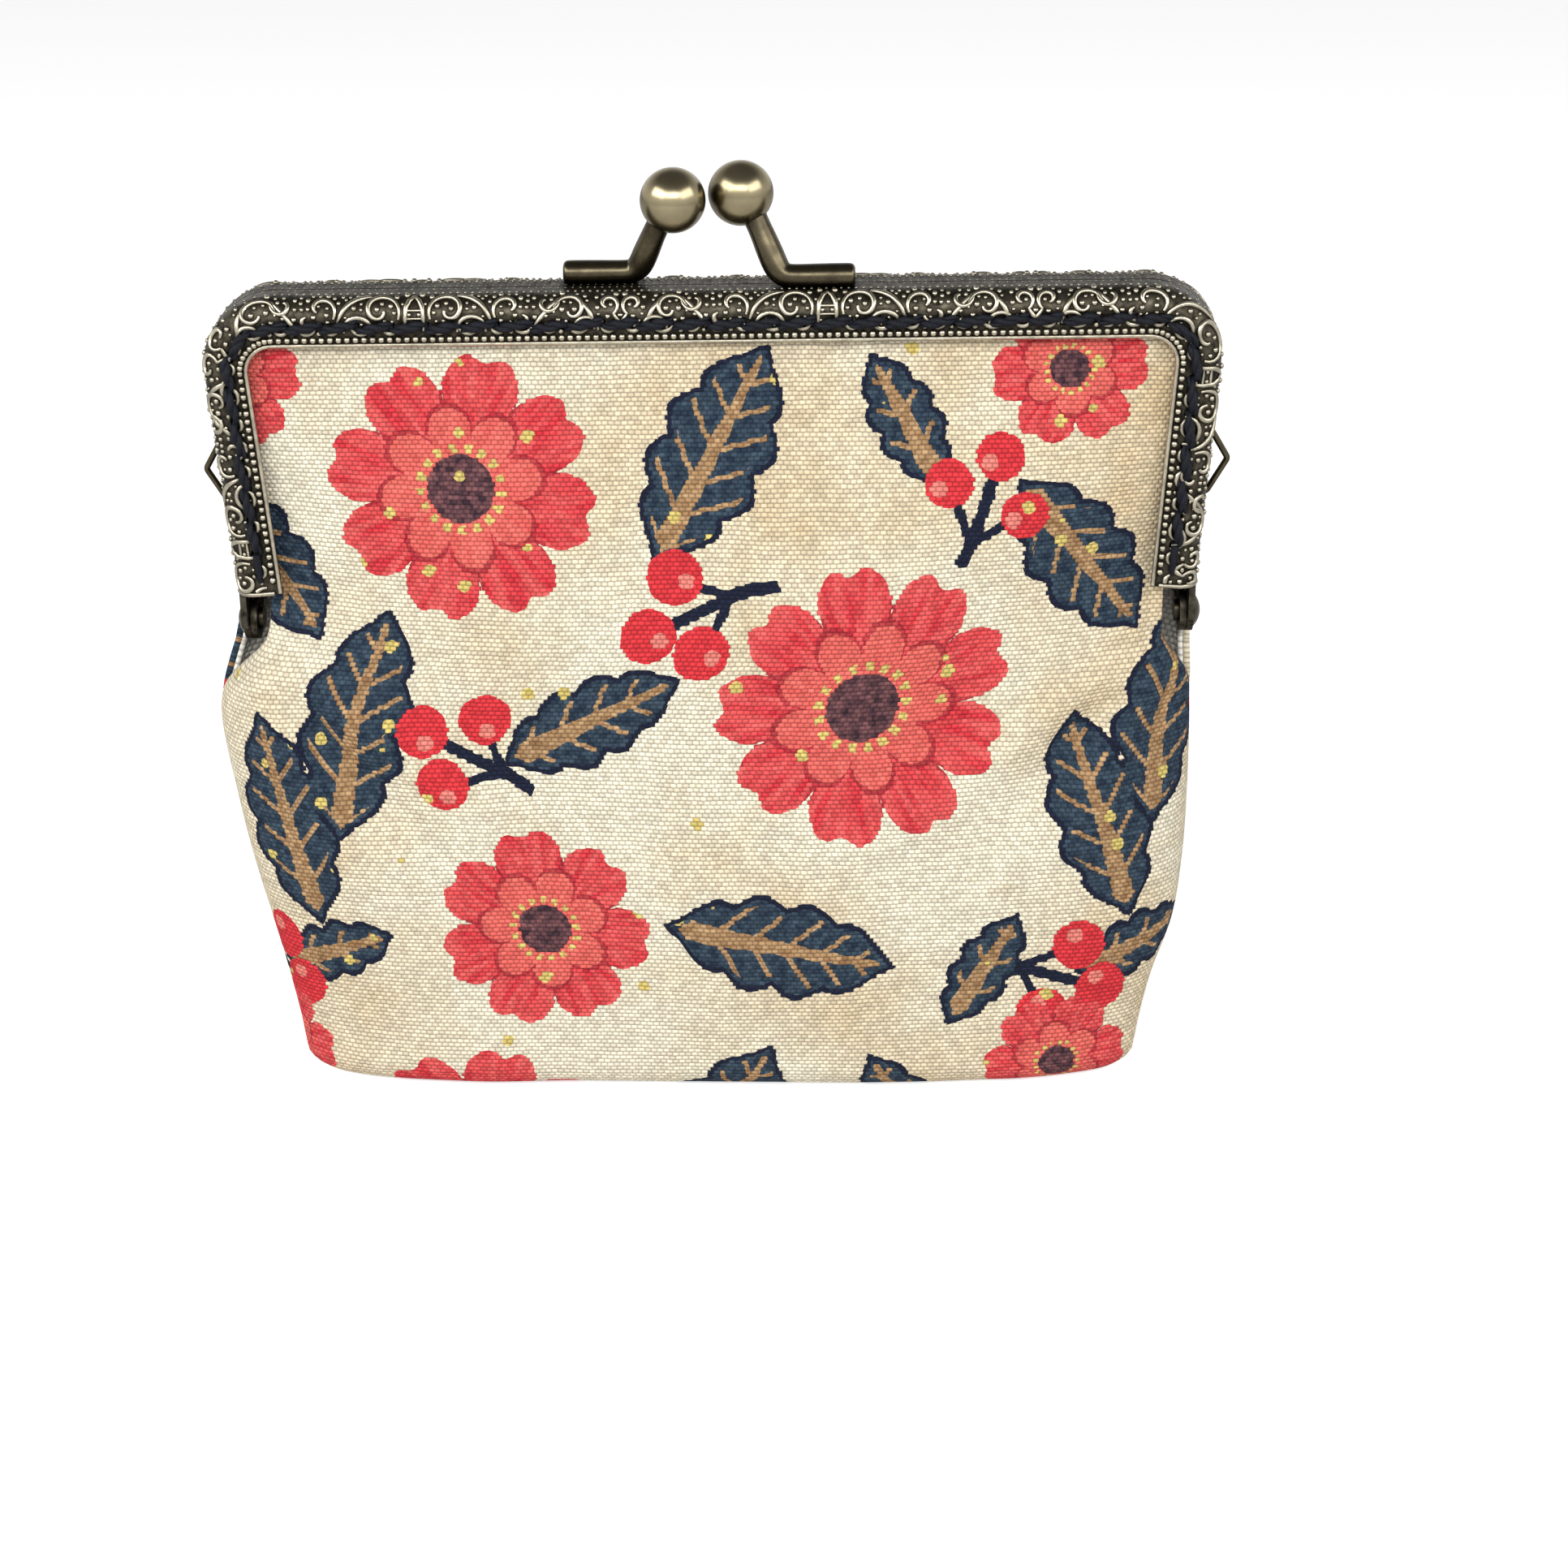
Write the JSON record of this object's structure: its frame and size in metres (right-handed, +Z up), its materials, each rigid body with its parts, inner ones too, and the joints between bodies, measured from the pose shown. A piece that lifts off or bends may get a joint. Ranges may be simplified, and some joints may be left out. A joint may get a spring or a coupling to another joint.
{
  "type": "coin purse",
  "caption": "Small lined canvas pouch sewn into a hinged metal frame with a kiss clasp, two side chain loops and a boxed base.",
  "frame": {"origin": "middle of the pouch's base, on the surface it stands on", "axes": "+X along the frame's top bar, to the viewer's right; -Y is the front of the purse; +Z up"},
  "size_m": [0.1294, 0.0292, 0.119],
  "materials": {
    "antique_brass": "antiqued, embossed",
    "satin_brass": "satin",
    "dark_wire": "dark patina",
    "navy_thread": "plied cotton thread",
    "printed_canvas": "printed plain-weave canvas",
    "lining": "plain-weave cotton"
  },
  "bodies": {
    "pouch": {"front_panel_lower": "printed_canvas", "front_lining_lower": "lining", "back_panel_lower": "printed_canvas", "back_lining_lower": "lining"},
    "front_half": {"front_frame": "antique_brass", "right_clasp_post": "antique_brass", "right_clasp_ball": "satin_brass", "front_stitching": "navy_thread", "front_panel_upper": "printed_canvas", "front_lining_upper": "lining"},
    "back_half": {"back_frame": "antique_brass", "left_rivet": "satin_brass", "right_rivet": "satin_brass", "left_clasp_post": "antique_brass", "left_clasp_ball": "satin_brass", "left_chain_loop": "dark_wire", "right_chain_loop": "dark_wire", "back_stitching": "navy_thread", "back_panel_upper": "printed_canvas", "back_lining_upper": "lining"}
  },
  "joints": [
    {"name": "front_swing", "type": "hinge", "parent": "pouch", "child": "front_half", "pos_m": [0, 0, 0.0607], "axis": [1, 0, 0], "range_deg": [0, 40]},
    {"name": "back_swing", "type": "hinge", "parent": "pouch", "child": "back_half", "pos_m": [0, 0, 0.0607], "axis": [1, 0, 0], "range_deg": [-40, 0]}
  ],
  "couplings": [
    {"joint": "back_swing", "follows": "front_swing", "ratio": -1}
  ]
}
